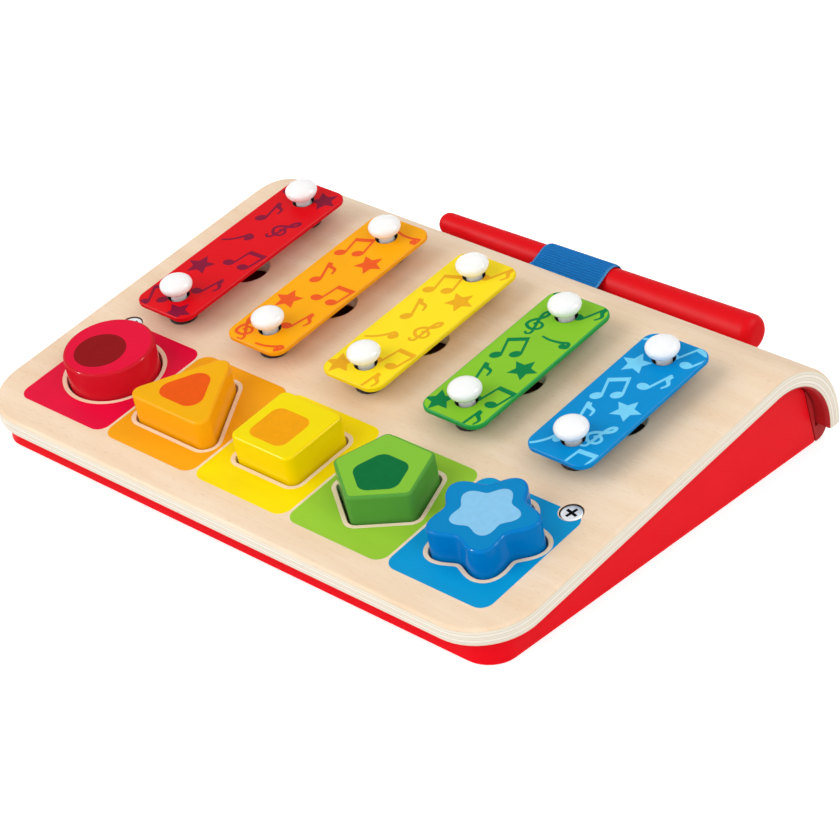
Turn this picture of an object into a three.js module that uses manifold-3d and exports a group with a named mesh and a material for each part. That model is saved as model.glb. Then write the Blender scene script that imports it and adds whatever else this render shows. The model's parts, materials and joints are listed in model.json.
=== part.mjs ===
// Shape sorter xylophone: a bent plywood board on a red wedge base, with five sorting blocks,
// five metal tone bars on foam pads and pegs, and a mallet held in an elastic loop at the back.
// Lengths are in millimetres and angles in radians. +X is right, +Y is back, +Z is up.
// The board group is tilted: in it x runs along the front edge, y up the slope, z off the top face.

import * as THREE from "three";
import { mergeVertices } from "three/addons/utils/BufferGeometryUtils.js";
import Module from "manifold-3d";

const wasm = await Module();
wasm.setup();

const degrees = Math.PI / 180;
const quarterTurn = Math.PI / 2;

// Clearances shared by all pieces
const gap = 0.3;
const overrun = 5;

// Bent plywood board
const boardThickness = 8.6;
const boardSlope = 9.29 * degrees;
const boardCorner = 26;
const frontHeight = 18.4;
const bendRadius = 39.5;
const bendSteps = 18;
const rearEdgeHeight = 8.1;
const flatBehindPegs = 6.9;

// Red base
const sideInset = 6.4;
const frontInset = 8;
const baseCorner = 12.5;
const wall = 8;
const frontWall = 10;
const frontArm = 6;
const railFoot = 8;
const railRound = 7;
const seamAngle = 41.5 * degrees;
const panelThickness = 3;

// Sorting row
const colourNames = ["red", "orange", "yellow", "green", "blue"];
const sorterWeb = 7.98;
const sorterEnd = 14.5;
const sorterSetback = 7.9;
const blockDepth = 10;
const blockRise = 12.7;
const blockEdge = 1.2;
const blockClearance = 0.9;
const roundRadius = 19.3;
const triangleRadius = 27.7;
const triangleCorner = 4.4;
const triangleDrop = 4.6;
const squareRadius = 23.2;
const squareCorner = 3.5;
const pentagonRadius = 21.4;
const pentagonCorner = 3.1;
const starRadius = 22.6;
const starValley = 16.3;
const sorterFloorThickness = 3;
const sorterMargin = 0.8;

// Rail and blocks under the board
const crossRailDepth = 10;
const crossRailHeight = 12;
const screwBlockWidth = 15.2;
const screwBlockDepth = 10;
const screwInset = 2.8;

// Screws
const screwHeadRadius = 4.5;
const screwHeadHeight = 2.3;
const screwShankRadius = 1.75;
const screwLength = 15;
const screwSink = 0.4;
const screwDome = 0.4;
const recessSpan = 5.4;
const recessWidth = 1.2;
const recessDepth = 1.5;

// Tone bars
const barEnd = 13.5;
const barRowStep = -0.3;
const barWidth = 31;
const barThickness = 2.2;
const longestBar = 103.3;
const barLengthStep = 5.3;
const barCorner = 6;
const barHoleRadius = 4.65;
const pegMargin = 12.45;
const pegSetback = 7.8;

// Pads and pegs
const padHeight = 8.4;
const padRadius = 6.4;
const neckRadius = 3.4;
const capRadius = 7;
const capRise = 5.7;
const capDome = 3.4;
const capBelly = 4.5;
const stemRadius = 2.4;
const stemReach = 3;
const soundHoleRadius = 10;

// Mallet and its elastic loop
const malletLength = 173;
const tipRadius = 5;
const buttRadius = 8.2;
const malletShift = 10.9;
const malletEndRound = 4;
const malletAngle = 18.5 * degrees;
const malletStandOff = 1.7;
const loopWidth = 37;
const loopShift = 3;
const webbing = 1;
const loopSeatHalf = 8.5;
const tackSpacing = 20;
const tackHeadRadius = 2.4;
const tackHeadHeight = 0.7;
const tackShankRadius = 0.9;
const tackLength = 6;

// Colours and finishes
function finish(color, roughness, metalness = 0) {
  return new THREE.MeshStandardMaterial({ color, roughness, metalness });
}
const paintHex = [0xdc1c3c, 0xf9a61f, 0xffe100, 0x8fc93f, 0x0090d3];
const blockPaint = paintHex.map((hex) => finish(hex, 0.35));
const barPaint = paintHex.map((hex) => finish(hex, 0.3, 0.2));
const birch = finish(0xf3dcc0, 0.55);
const basePaint = finish(0xe8192c, 0.35);
const rawWood = finish(0xd9bd92, 0.7);
const foam = finish(0x2a1416, 0.9);
const whitePlastic = finish(0xf6f6f4, 0.3);
const zinc = finish(0xc9ccd0, 0.35, 1);
const elastic = finish(0x0077bf, 0.8);

// Turning geometry into cuttable solids and back
function toSolid(geometry) {
  const bare = geometry.clone();
  bare.deleteAttribute("normal");
  bare.deleteAttribute("uv");
  const merged = mergeVertices(bare);
  return new wasm.Manifold(new wasm.Mesh({
    numProp: 3,
    vertProperties: Float32Array.from(merged.attributes.position.array),
    triVerts: Uint32Array.from(merged.index.array),
  }));
}

function fromSolid(solid) {
  const mesh = solid.getMesh();
  const geometry = new THREE.BufferGeometry();
  geometry.setAttribute("position", new THREE.BufferAttribute(mesh.vertProperties, 3));
  geometry.setIndex(new THREE.BufferAttribute(mesh.triVerts, 1));
  geometry.computeVertexNormals();
  return geometry;
}

function cut(geometry, tools) {
  let solid = toSolid(geometry);
  for (const tool of tools) solid = solid.subtract(toSolid(tool));
  return fromSolid(solid);
}

function common(first, second) {
  return fromSolid(toSolid(first).intersect(toSolid(second)));
}

// Points along an arc, both ends included
function arc(centre, radius, from, to, steps) {
  const points = [];
  for (let i = 0; i <= steps; i += 1) {
    const angle = from + (to - from) * i / steps;
    points.push(new THREE.Vector2(centre.x + radius * Math.cos(angle), centre.y + radius * Math.sin(angle)));
  }
  return points;
}

function point(x, y) {
  return new THREE.Vector2(x, y);
}

// A closed outline pushed up from one height to another
function prism(outline, bottom, top) {
  const shape = new THREE.Shape(outline);
  const geometry = new THREE.ExtrudeGeometry(shape, { depth: top - bottom, bevelEnabled: false });
  return geometry.translate(0, 0, bottom);
}

// A section drawn in y and z, pushed along x from one side to the other
function alongX(section, left, right) {
  const geometry = prism(section, left, right);
  const turn = new THREE.Matrix4().makeBasis(
    new THREE.Vector3(0, 1, 0), new THREE.Vector3(0, 0, 1), new THREE.Vector3(1, 0, 0));
  return geometry.applyMatrix4(turn);
}

function cylinder(x, y, radius, bottom, top, sides) {
  return prism(arc(point(x, y), radius, 0, 2 * Math.PI, sides).slice(0, -1), bottom, top);
}

// A turned piece: profile points are radius and height, and its axis is z
function turned(profile, sides) {
  return new THREE.LatheGeometry(profile, sides).rotateX(quarterTurn);
}

function rectangle(left, right, front, back) {
  return [point(left, front), point(right, front), point(right, back), point(left, back)];
}

// A rectangle with its four corners rounded
function roundedRectangle(left, right, front, back, radius, steps) {
  return [
    ...arc(point(left + radius, front + radius), radius, Math.PI, 3 * quarterTurn, steps),
    ...arc(point(right - radius, front + radius), radius, 3 * quarterTurn, 4 * quarterTurn, steps),
    ...arc(point(right - radius, back - radius), radius, 0, quarterTurn, steps),
    ...arc(point(left + radius, back - radius), radius, quarterTurn, Math.PI, steps),
  ];
}

// A regular figure with rounded corners, grown outwards by the same amount all round
function regularOutline(centre, sides, radius, corner, firstAngle, grow, steps) {
  const reach = radius + grow / Math.cos(Math.PI / sides);
  const round = corner + grow;
  const hubReach = reach - round / Math.cos(Math.PI / sides);
  const points = [];
  for (let i = 0; i < sides; i += 1) {
    const angle = firstAngle + 2 * Math.PI * i / sides;
    const hub = point(centre.x + hubReach * Math.cos(angle), centre.y + hubReach * Math.sin(angle));
    points.push(...arc(hub, round, angle - Math.PI / sides, angle + Math.PI / sides, steps));
  }
  return points;
}

// A soft star with five lobes, one of them pointing up the slope
function starOutline(centre, grow) {
  const lobes = 5;
  const mean = (starRadius + starValley) / 2 + grow;
  const swing = (starRadius - starValley) / 2;
  const steps = 50;
  const points = [];
  for (let i = 0; i < steps; i += 1) {
    const angle = quarterTurn + 2 * Math.PI * i / steps;
    const radius = mean + swing * Math.cos(lobes * (angle - quarterTurn));
    points.push(point(centre.x + radius * Math.cos(angle), centre.y + radius * Math.sin(angle)));
  }
  return points;
}

// The groups: everything stands in the toy, and what follows the slope is in the board group
const toy = new THREE.Group();
const board = new THREE.Group();
board.position.set(0, 0, frontHeight);
board.rotation.x = boardSlope;
toy.add(board);

function place(parent, name, geometry, material, x = 0, y = 0, z = 0) {
  const mesh = new THREE.Mesh(geometry, material);
  mesh.name = name;
  mesh.position.set(x, y, z);
  parent.add(mesh);
  return mesh;
}

// Sorting figures: each gives its outline round a centre, grown by a clearance. The triangle sits
// lower than the others, so that its height is shared out evenly over the row.
const figures = [
  { name: "round_block", outline: (c, grow) => arc(c, roundRadius + grow, 0, 2 * Math.PI, 40).slice(0, -1) },
  { name: "triangle_block", outline: (c, grow) =>
    regularOutline(point(c.x, c.y - triangleDrop), 3, triangleRadius, triangleCorner, quarterTurn, grow, 8) },
  { name: "square_block", outline: (c, grow) =>
    regularOutline(c, 4, squareRadius, squareCorner, quarterTurn / 2, grow, 6) },
  { name: "pentagon_block", outline: (c, grow) =>
    regularOutline(c, 5, pentagonRadius, pentagonCorner, -quarterTurn, grow, 5) },
  { name: "star_block", outline: (c, grow) => starOutline(c, grow) },
];

// Across the board: the widest figure sets the pitch of the sorting row, and the row the board's width
const figureSpots = figures.flatMap((figure) => figure.outline(point(0, 0), 0));
const sorterHalf = Math.max(...figureSpots.map((spot) => Math.abs(spot.x)));
const sorterUp = Math.max(...figureSpots.map((spot) => spot.y));
const sorterDown = Math.max(...figureSpots.map((spot) => -spot.y));
const sorterPitch = 2 * sorterHalf + sorterWeb;
const boardWidth = sorterPitch * figures.length + 2 * sorterEnd;
const barPitch = (boardWidth - 2 * barEnd) / colourNames.length;
const middle = boardWidth / 2;
const fromMiddle = (index) => index - (colourNames.length - 1) / 2;
const sorterX = (index) => middle + sorterPitch * fromMiddle(index);
const barX = (index) => middle + barPitch * fromMiddle(index);
const screwX = sideInset + wall + gap + screwBlockWidth / 2;
const screwSides = [screwX, boardWidth - screwX];

// Up the slope: the sorting row, the cross rail and screws, the bars on their pegs, and the bend
const sorterRow = frontInset + frontWall + sorterSetback + sorterDown;
const sorterBack = sorterRow + sorterUp + blockClearance + sorterMargin;
const crossRailFront = sorterBack + gap;
const crossRailBack = crossRailFront + crossRailDepth;
const screwY = crossRailFront + screwInset;
const screwBlockFront = screwY - screwBlockDepth / 2;
const firstPeg = crossRailBack + pegSetback;
const barRow = firstPeg + longestBar / 2 - pegMargin;
const barY = (index) => barRow + barRowStep * index;
const barLength = (index) => longestBar - barLengthStep * index;
const pegY = (index, side) => barY(index) + side * (barLength(index) / 2 - pegMargin);
const flatLength = pegY(0, 1) + flatBehindPegs;

// Off the board: its underside and the bars' faces
const underside = -boardThickness - gap;
const barBottom = padHeight + 2 * gap;
const barTop = barBottom + barThickness;

// World place of a point given up the slope and off the board's top face
function fromBoard(up, off) {
  const across = Math.cos(boardSlope);
  const rise = Math.sin(boardSlope);
  return point(up * across - off * rise, frontHeight + up * rise + off * across);
}

// The bend: it turns from the flat until the lower corner of its end is at its height over the floor
const bendInner = bendRadius - boardThickness;
const bendHub = point(flatLength, -bendRadius);
const bendCentre = fromBoard(bendHub.x, bendHub.y);
const bendStart = quarterTurn + boardSlope;
const bendDrop = rearEdgeHeight - bendCentre.y;
const bendEnd = Math.asin(bendDrop / (bendDrop > 0 ? bendInner : bendRadius));
const bendSweep = bendStart - bendEnd;

// Loop and mallet, in the polar frame of the bend
const malletReach = bendRadius + buttRadius + malletStandOff;
const malletY = bendHub.x + malletReach * Math.cos(malletAngle);
const malletZ = bendHub.y + malletReach * Math.sin(malletAngle);
const loopMiddle = middle + loopShift;
const loopLeft = loopMiddle - loopWidth / 2;
const malletStart = middle - malletLength / 2 + malletShift;
const malletTaper = (buttRadius - tipRadius) / malletLength;
const loopBore = tipRadius + malletTaper * (loopLeft + loopWidth - malletStart) + gap;
const tackX = [loopMiddle - tackSpacing / 2, loopMiddle + tackSpacing / 2];

// A round pin that points out of the bend, square to its surface
function bendPin(x, radius, from, to, sides) {
  const pin = cylinder(0, 0, radius, from, to, sides);
  pin.rotateX(malletAngle - quarterTurn);
  return pin.translate(x, bendHub.x, bendHub.y);
}

// The bent board, with every hole that goes through it
function makeBoard() {
  const section = [
    point(0, 0),
    point(0, -boardThickness),
    ...arc(bendHub, bendInner, quarterTurn, quarterTurn - bendSweep, bendSteps),
    ...arc(bendHub, bendRadius, quarterTurn - bendSweep, quarterTurn, bendSteps),
  ];
  const back = flatLength + bendRadius + overrun;
  const plan = [
    ...arc(point(boardCorner, boardCorner), boardCorner, Math.PI, 3 * quarterTurn, 8),
    ...arc(point(boardWidth - boardCorner, boardCorner), boardCorner, 3 * quarterTurn, 4 * quarterTurn, 8),
    point(boardWidth, back),
    point(0, back),
  ];
  const blank = common(
    alongX(section, 0, boardWidth),
    prism(plan, -2 * bendRadius - overrun, overrun));
  const low = -boardThickness - overrun;
  const tools = [];
  figures.forEach((figure, index) => {
    tools.push(prism(figure.outline(point(sorterX(index), sorterRow), blockClearance), low, overrun));
    tools.push(cylinder(barX(index), barY(index), soundHoleRadius, low, overrun, 28));
    for (const side of [-1, 1]) {
      tools.push(cylinder(barX(index), pegY(index, side), stemRadius + gap, low, overrun, 12));
    }
  });
  const seat = -screwSink - screwDome - screwHeadHeight - gap;
  for (const x of screwSides) {
    tools.push(cylinder(x, screwY, screwHeadRadius + gap, seat, overrun, 24));
    tools.push(cylinder(x, screwY, screwShankRadius + gap, low, overrun, 12));
  }
  for (const x of tackX) {
    tools.push(bendPin(x, tackShankRadius + gap, bendInner - overrun, bendRadius + overrun, 10));
  }
  place(board, "top_board", cut(blank, tools), birch);
}

// Plan of the base, set in from the board's edges, and the seam of its rear rail
const frame = {
  left: sideInset,
  right: boardWidth - sideInset,
  front: frontInset,
  corner: baseCorner,
};
const baseBack = bendCentre.x + bendRadius * Math.cos(bendEnd);
const sideFront = frame.front + frame.corner + frontArm;
const innerBend = bendInner - gap;
const seamTop = point(
  bendCentre.x + innerBend * Math.cos(seamAngle),
  bendCentre.y + innerBend * Math.sin(seamAngle));
const seamFoot = point(baseBack - railFoot, 0);
const seamRun = (seamTop.x - seamFoot.x) / seamTop.y;

// All the room under the board, as a section in world y and z
function roomUnderBoard() {
  const lipDrop = (boardThickness + gap) / Math.cos(boardSlope);
  return [
    point(0, 0),
    point(bendCentre.x + innerBend * Math.cos(bendEnd), 0),
    ...arc(bendCentre, innerBend, bendEnd, bendStart, bendSteps),
    point(0, frontHeight - lipDrop),
  ];
}

// Front rail: it turns both rounded front corners of the base
function makeFrontRail() {
  const inner = frame.corner - wall;
  const outline = [
    ...arc(point(frame.left + frame.corner, frame.front + frame.corner), frame.corner,
      Math.PI, 3 * quarterTurn, 8),
    ...arc(point(frame.right - frame.corner, frame.front + frame.corner), frame.corner,
      3 * quarterTurn, 4 * quarterTurn, 8),
    point(frame.right, sideFront),
    point(frame.right - wall, sideFront),
    ...arc(point(frame.right - wall - inner, frame.front + frontWall + inner), inner,
      4 * quarterTurn, 3 * quarterTurn, 6),
    ...arc(point(frame.left + wall + inner, frame.front + frontWall + inner), inner,
      3 * quarterTurn, Math.PI, 6),
    point(frame.left + wall, sideFront),
    point(frame.left, sideFront),
  ];
  const rail = common(prism(outline, 0, 2 * frontHeight), alongX(roomUnderBoard(), 0, boardWidth));
  place(toy, "base_front_rail", rail, basePaint);
}

// Side boards: wedges that fill the room under the board up to the slanted rear seam
function makeSideBoards() {
  const shift = seamRun * overrun;
  const beyondSeam = [
    point(seamFoot.x - gap - shift, -overrun),
    point(baseBack + overrun, -overrun),
    point(baseBack + overrun, seamTop.y + overrun),
    point(seamTop.x - gap + shift, seamTop.y + overrun),
  ];
  const tall = frontHeight + bendCentre.y + bendRadius + overrun;
  const strip = rectangle(0, boardWidth, sideFront + gap, baseBack + overrun);
  const sides = { base_left_side: frame.left, base_right_side: frame.right - wall };
  for (const [name, left] of Object.entries(sides)) {
    const wedge = common(alongX(roomUnderBoard(), left, left + wall), prism(strip, -overrun, tall));
    place(toy, name, cut(wedge, [alongX(beyondSeam, 0, boardWidth)]), basePaint);
  }
}

// Rear rail: it fills the bend behind the seam, and its lip closes the board's lower edge
function makeRearRail() {
  const lip = rearEdgeHeight - gap;
  const section = [
    seamFoot,
    ...arc(point(baseBack - railRound, railRound), railRound, -quarterTurn, 0, 6),
    point(baseBack, lip),
    point(bendCentre.x + innerBend * Math.cos(bendEnd), lip),
    ...arc(bendCentre, innerBend, bendEnd, seamAngle, 12),
  ];
  place(toy, "base_rear_rail", alongX(section, frame.left, frame.right), basePaint);
}

// Bottom panel: it lies between the rails, flush with the floor
function makeBottomPanel() {
  const inner = frame.corner - wall;
  const outline = roundedRectangle(
    frame.left + wall + gap, frame.right - wall - gap,
    frame.front + frontWall + gap, seamFoot.x + seamRun * panelThickness - gap,
    inner, 5);
  place(toy, "bottom_panel", prism(outline, 0, panelThickness), rawWood);
}

// Sorter floor, cross rail and screw blocks, all under the sorting row
function makeUnderframe() {
  const left = frame.left + wall + gap;
  const right = frame.right - wall - gap;
  const floorTop = -blockDepth - gap;
  const floorBottom = floorTop - sorterFloorThickness;
  const front = (frame.front + frontWall + gap - Math.abs(floorTop) * Math.sin(boardSlope))
    / Math.cos(boardSlope);
  const corner = frame.corner - wall;
  const railLeft = left + screwBlockWidth + gap;
  const railRight = right - screwBlockWidth - gap;
  const shoulder = screwBlockFront - gap;
  const floor = [
    ...arc(point(left + corner, front + corner), corner, Math.PI, 3 * quarterTurn, 5),
    ...arc(point(right - corner, front + corner), corner, 3 * quarterTurn, 4 * quarterTurn, 5),
    point(right, shoulder),
    point(railRight, shoulder),
    point(railRight, sorterBack),
    point(railLeft, sorterBack),
    point(railLeft, shoulder),
    point(left, shoulder),
  ];
  place(board, "sorter_floor", prism(floor, floorBottom, floorTop), rawWood);

  const low = underside - crossRailHeight;
  const rail = rectangle(railLeft, railRight, crossRailFront, crossRailBack);
  place(board, "cross_rail", prism(rail, low, underside), rawWood);

  const half = screwBlockWidth / 2;
  ["left_screw_block", "right_screw_block"].forEach((name, index) => {
    const x = screwSides[index];
    const plan = rectangle(x - half, x + half, screwBlockFront, screwBlockFront + screwBlockDepth);
    const block = prism(plan, low, underside);
    const pilot = cylinder(x, screwY, screwShankRadius + gap, low - overrun, underside + overrun, 12);
    place(board, name, cut(block, [pilot]), rawWood);
  });
}

// Sorting blocks: the figure with softened edges, standing on the sorter floor
function makeBlocks() {
  figures.forEach((figure, index) => {
    const shape = new THREE.Shape(figure.outline(point(0, 0), 0));
    const geometry = new THREE.ExtrudeGeometry(shape, {
      depth: blockDepth + blockRise - 2 * blockEdge,
      bevelEnabled: true,
      bevelThickness: blockEdge,
      bevelSize: blockEdge,
      bevelOffset: -blockEdge,
      bevelSegments: 2,
    });
    place(board, figure.name, geometry, blockPaint[index], sorterX(index), sorterRow, blockEdge - blockDepth);
  });
}

// Tone bars: flat plates with rounded corners and two loose holes
function makeBars() {
  colourNames.forEach((colour, index) => {
    const half = barLength(index) / 2;
    const plate = new THREE.Shape(roundedRectangle(-barWidth / 2, barWidth / 2, -half, half, barCorner, 5));
    for (const side of [-1, 1]) {
      const hub = point(0, side * (half - pegMargin));
      plate.holes.push(new THREE.Path(arc(hub, barHoleRadius, 0, 2 * Math.PI, 20).slice(0, -1)));
    }
    const geometry = new THREE.ExtrudeGeometry(plate, { depth: barThickness, bevelEnabled: false });
    place(board, `${colour}_bar`, geometry, barPaint[index], barX(index), barY(index), barBottom);
  });
}

// Foam pads: rings round the pegs, between the board and the bars
function makePads() {
  const bore = neckRadius + gap;
  const profile = [point(bore, 0), point(padRadius, 0), point(padRadius, padHeight), point(bore, padHeight)];
  profile.push(profile[0].clone());
  colourNames.forEach((colour, index) => {
    for (const [end, side] of [["front", -1], ["rear", 1]]) {
      place(board, `${colour}_${end}_pad`, turned(profile, 16), foam, barX(index), pegY(index, side), gap);
    }
  });
}

// Pegs: a stem in the board, a neck through pad and bar, and a domed head
function makePegs() {
  const rim = barTop + capRise;
  const bellyFoot = Math.acos(neckRadius / capRadius);
  const belly = arc(point(0, 0), capRadius, -bellyFoot, 0, 3);
  const dome = arc(point(0, 0), capRadius, 0, quarterTurn, 3).slice(1);
  dome[dome.length - 1].x = 0;
  const cap = [
    ...belly.map((spot) => point(spot.x, rim + spot.y * capBelly / capRadius)),
    ...dome.map((spot) => point(spot.x, rim + spot.y * capDome / capRadius)),
  ];
  const profile = [
    point(0, -boardThickness - stemReach),
    point(stemRadius, -boardThickness - stemReach),
    point(stemRadius, gap),
    point(neckRadius, gap),
    ...cap,
  ];
  colourNames.forEach((colour, index) => {
    for (const [end, side] of [["front", -1], ["rear", 1]]) {
      place(board, `${colour}_${end}_peg`, turned(profile, 16), whitePlastic, barX(index), pegY(index, side));
    }
  });
}

// Screws: low domed heads with a cross recess, sunk in their seats
function makeScrews() {
  const headTop = -screwSink - screwDome;
  const headBottom = headTop - screwHeadHeight;
  const tip = headBottom - screwLength;
  const profile = [
    point(0, tip),
    point(screwShankRadius, tip + 2 * screwShankRadius),
    point(screwShankRadius, headBottom),
    point(screwHeadRadius, headBottom),
    point(screwHeadRadius, headTop),
    point(screwHeadRadius / 2, -screwSink - screwDome / 4),
    point(0, -screwSink),
  ];
  const slots = [[recessSpan, recessWidth], [recessWidth, recessSpan]].map(([width, length]) =>
    new THREE.BoxGeometry(width, length, 2 * recessDepth).translate(0, 0, -screwSink));
  const screw = cut(turned(profile, 20), slots);
  ["left_screw", "right_screw"].forEach((name, index) => {
    place(board, name, screw.clone(), zinc, screwSides[index], screwY);
  });
}

// Mallet: a tapered stick with rounded ends, lying along x behind the bend
function makeMallet() {
  const round = malletEndRound;
  const profile = [
    point(0, 0),
    ...arc(point(tipRadius - round, round), round, -quarterTurn, 0, 4),
    ...arc(point(buttRadius - round, malletLength - round), round, 0, quarterTurn, 4),
    point(0, malletLength),
  ];
  const stick = new THREE.LatheGeometry(profile, 24).rotateZ(-quarterTurn);
  place(board, "mallet", stick, basePaint, malletStart, malletY, malletZ);
}

// Half of the loop's section: from the seat's end, straight to the stick and half way round it
function loopHalf(seatRadius, seatHalf, bore) {
  const seatAngle = Math.asin(seatHalf / seatRadius);
  const seatEnd = point(seatRadius * Math.sin(seatAngle), seatRadius * Math.cos(seatAngle));
  const away = Math.hypot(seatEnd.x, seatEnd.y - malletReach);
  const touch = Math.atan2(seatEnd.y - malletReach, seatEnd.x) + Math.acos(bore / away);
  return {
    seat: arc(point(0, 0), seatRadius, quarterTurn, quarterTurn - seatAngle, 4),
    round: arc(point(0, malletReach), bore, touch, quarterTurn, 12),
  };
}

// A full loop section: x runs along the bend's surface and y points away from the bend
function loopSection(seatRadius, seatHalf, bore) {
  const half = loopHalf(seatRadius, seatHalf, bore);
  const right = [...half.seat, ...half.round];
  const left = right.slice(1, -1).map((spot) => point(-spot.x, spot.y)).reverse();
  return [...right, ...left];
}

// Elastic loop: a band round the stick, its seat flat on the bend, with two tack holes
function makeLoop() {
  const seat = bendRadius + gap;
  const band = new THREE.Shape(loopSection(seat, loopSeatHalf, loopBore + webbing));
  band.holes.push(new THREE.Path(loopSection(seat + webbing, loopSeatHalf - 2 * webbing, loopBore)));
  const geometry = new THREE.ExtrudeGeometry(band, { depth: loopWidth, bevelEnabled: false });
  const outward = new THREE.Vector3(0, Math.cos(malletAngle), Math.sin(malletAngle));
  const along = new THREE.Vector3(0, Math.sin(malletAngle), -Math.cos(malletAngle));
  geometry.applyMatrix4(new THREE.Matrix4().makeBasis(along, outward, new THREE.Vector3(1, 0, 0)));
  geometry.translate(loopLeft, bendHub.x, bendHub.y);
  const holes = tackX.map((x) => bendPin(x, tackShankRadius + gap, bendRadius, seat + webbing + gap, 10));
  place(board, "mallet_loop", cut(geometry, holes), elastic);

  const head = seat + webbing + gap;
  const profile = [
    point(0, head - tackLength),
    point(tackShankRadius, head - tackLength + tackShankRadius),
    point(tackShankRadius, head),
    point(tackHeadRadius, head),
    point(tackHeadRadius, head + tackHeadHeight / 2),
    point(tackHeadRadius / 2, head + tackHeadHeight),
    point(0, head + tackHeadHeight),
  ];
  ["left_loop_tack", "right_loop_tack"].forEach((name, index) => {
    const tack = turned(profile, 12).rotateX(malletAngle - quarterTurn);
    place(board, name, tack, zinc, tackX[index], bendHub.x, bendHub.y);
  });
}

makeBoard();
makeFrontRail();
makeSideBoards();
makeRearRail();
makeBottomPanel();
makeUnderframe();
makeBlocks();
makeBars();
makePads();
makePegs();
makeScrews();
makeMallet();
makeLoop();

// The origin is on the floor, under the middle of the whole toy
toy.updateMatrixWorld(true);
const extent = new THREE.Box3().setFromObject(toy, true);
const centre = extent.getCenter(new THREE.Vector3());
toy.position.set(-centre.x, -centre.y, -extent.min.z);

export default toy;
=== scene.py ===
import json
import math

import bmesh
import bpy
from mathutils import Matrix, Vector
from mathutils.geometry import delaunay_2d_cdt


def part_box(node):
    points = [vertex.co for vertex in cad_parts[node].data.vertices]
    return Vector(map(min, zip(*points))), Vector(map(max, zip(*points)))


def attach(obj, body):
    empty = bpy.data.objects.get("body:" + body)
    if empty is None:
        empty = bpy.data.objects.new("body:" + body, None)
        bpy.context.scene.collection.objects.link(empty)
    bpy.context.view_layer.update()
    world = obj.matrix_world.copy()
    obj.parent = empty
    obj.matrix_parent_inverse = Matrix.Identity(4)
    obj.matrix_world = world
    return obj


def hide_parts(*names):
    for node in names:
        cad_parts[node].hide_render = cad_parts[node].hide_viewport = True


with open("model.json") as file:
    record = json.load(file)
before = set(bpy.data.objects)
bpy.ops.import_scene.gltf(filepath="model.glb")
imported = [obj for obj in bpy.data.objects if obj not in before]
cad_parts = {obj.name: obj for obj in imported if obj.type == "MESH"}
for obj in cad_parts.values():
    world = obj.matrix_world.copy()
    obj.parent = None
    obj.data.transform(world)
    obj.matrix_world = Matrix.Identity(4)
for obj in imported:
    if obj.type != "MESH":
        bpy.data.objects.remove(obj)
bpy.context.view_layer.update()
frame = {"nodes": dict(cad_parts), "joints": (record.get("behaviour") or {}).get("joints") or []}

# The camera stands where the photograph was taken, high above the right front corner.
# It is a long lens, held a little tilted. The place is in metres, in the toy's own frame.
sensor_width = 36
focal_length = 122.44
camera_place = Vector((0.6971, -0.7307, 0.6167))
camera_azimuth = math.radians(43.45)
camera_elevation = math.radians(31.17)
camera_roll = math.radians(-3.25)


def add_object(name, data):
    """A new object of the scene round its camera, lamp or mesh."""
    made = bpy.data.objects.new(name, data)
    bpy.context.scene.collection.objects.link(made)
    return made


camera_data = bpy.data.cameras.new("photograph_view")
camera_data.sensor_width = sensor_width
camera_data.lens = focal_length
camera = add_object("photograph_view", camera_data)
camera.matrix_world = (
    Matrix.Translation(camera_place) @ Matrix.Rotation(camera_azimuth, 4, "Z")
    @ Matrix.Rotation(math.pi / 2 - camera_elevation, 4, "X") @ Matrix.Rotation(camera_roll, 4, "Z"))
bpy.context.scene.camera = camera
bpy.context.scene.view_settings.view_transform = "Standard"


# A white sweep under soft studio light: an even sky and two lamps so wide that their shadows melt
# away. Two small bright lamps show in the gloss only, as thin glints on the rounded arrises. Sky and
# floor look white without more light on the toy, and the floor keeps the toy's shadow.
sky_level = 0.56
# For each lamp: its strength, its width in degrees, where it shines from, and if it lights matt paint.
studio_lamps = {
    "left_front_lamp": (1.25, 46, (-0.36, -0.74, 0.57), True),
    "right_lamp": (0.95, 60, (0.75, -0.1, 0.65), True),
    "left_front_glint": (6, 5, (-0.584, -0.688, 0.441), False),
    "right_rear_glint": (4, 5, (0.582, 0.459, 0.65), False),
}
floor_half = 4
floor_drop = 0.0002
floor_grey = 0.8
floor_glow = 0.6


def linear(colour):
    """An sRGB hex colour as the linear values that a shader takes."""
    parts = [int(colour[i:i + 2], 16) / 255 for i in (1, 3, 5)]
    return tuple(p / 12.92 if p <= 0.04045 else ((p + 0.055) / 1.055) ** 2.4 for p in parts) + (1,)


def add_node(owner, kind, inputs=None, stops=(), **settings):
    """One shader node. Settings are its properties; inputs are values, hex colours or the outputs linked
    to it; stops are a ramp's places from 0 to 1 with their hex colours."""
    made = owner.node_tree.nodes.new(kind)
    for name, value in settings.items():
        setattr(made, name, value)
    for name, value in (inputs or {}).items():
        if isinstance(value, bpy.types.NodeSocket):
            owner.node_tree.links.new(value, made.inputs[name])
        else:
            made.inputs[name].default_value = linear(value) if isinstance(value, str) else value
    for i, (position, colour) in enumerate(stops):
        elements = made.color_ramp.elements
        element = elements[i] if i < len(elements) else elements.new(position)
        element.position, element.color = position, linear(colour)
    return made


def cleared(owner):
    """A new world or material with its nodes taken out."""
    owner.use_nodes = True
    owner.node_tree.nodes.clear()
    return owner


def seen_share(owner):
    """1 for rays from the camera, a reflection or glass, and 0 for the light that falls on things."""
    rays = add_node(owner, "ShaderNodeLightPath").outputs
    mirrored = add_node(owner, "ShaderNodeMath", {
        0: rays["Is Glossy Ray"], 1: rays["Is Transmission Ray"]}, operation="MAXIMUM").outputs[0]
    return add_node(owner, "ShaderNodeMath", {
        0: rays["Is Camera Ray"], 1: mirrored}, operation="MAXIMUM").outputs[0]


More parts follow.
